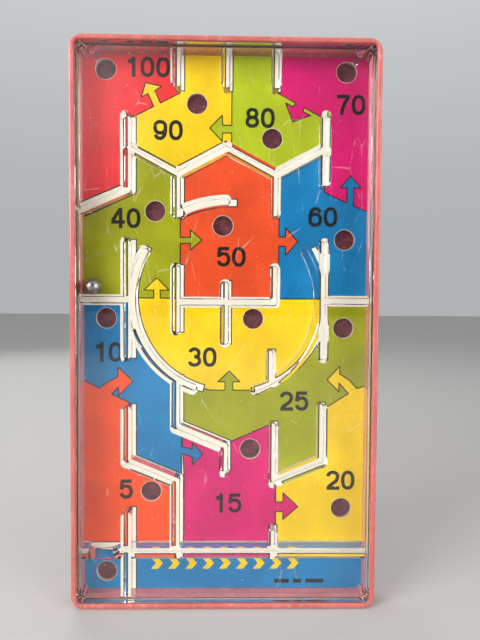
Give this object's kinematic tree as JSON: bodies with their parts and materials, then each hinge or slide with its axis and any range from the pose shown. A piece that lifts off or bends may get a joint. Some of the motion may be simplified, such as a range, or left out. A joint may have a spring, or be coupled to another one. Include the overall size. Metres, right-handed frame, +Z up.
{
  "type": "pocket ball maze game",
  "caption": "Flat hand-held ball maze: a steel ball rolls over a numbered card with scoring holes, between the walls of a clear moulded cover in a coloured tray.",
  "frame": {"origin": "middle of the bottom edge that the game stands on, halfway through its thickness", "axes": "+Z up along the game's long side, +X to the player's right, -Y out of its face towards the player"},
  "size_m": [0.07, 0.009, 0.13],
  "materials": {
    "tray": "see-through red moulded plastic, glossy, lightly scuffed",
    "card": "coated board, printed in bright inks",
    "cover": "clear moulded plastic, polished, with fine scratches",
    "ball": "bright steel shot, a little dulled"
  },
  "bodies": {
    "case": {"back_tray": "tray", "printed_card": "card", "clear_cover": "cover"},
    "ball": {"steel_ball": "ball"}
  },
  "joints": [
    {"name": "ball_roll", "type": "slide", "parent": "case", "child": "ball", "axis": [0, 0, 1], "range_m": [0, 0.015]}
  ]
}
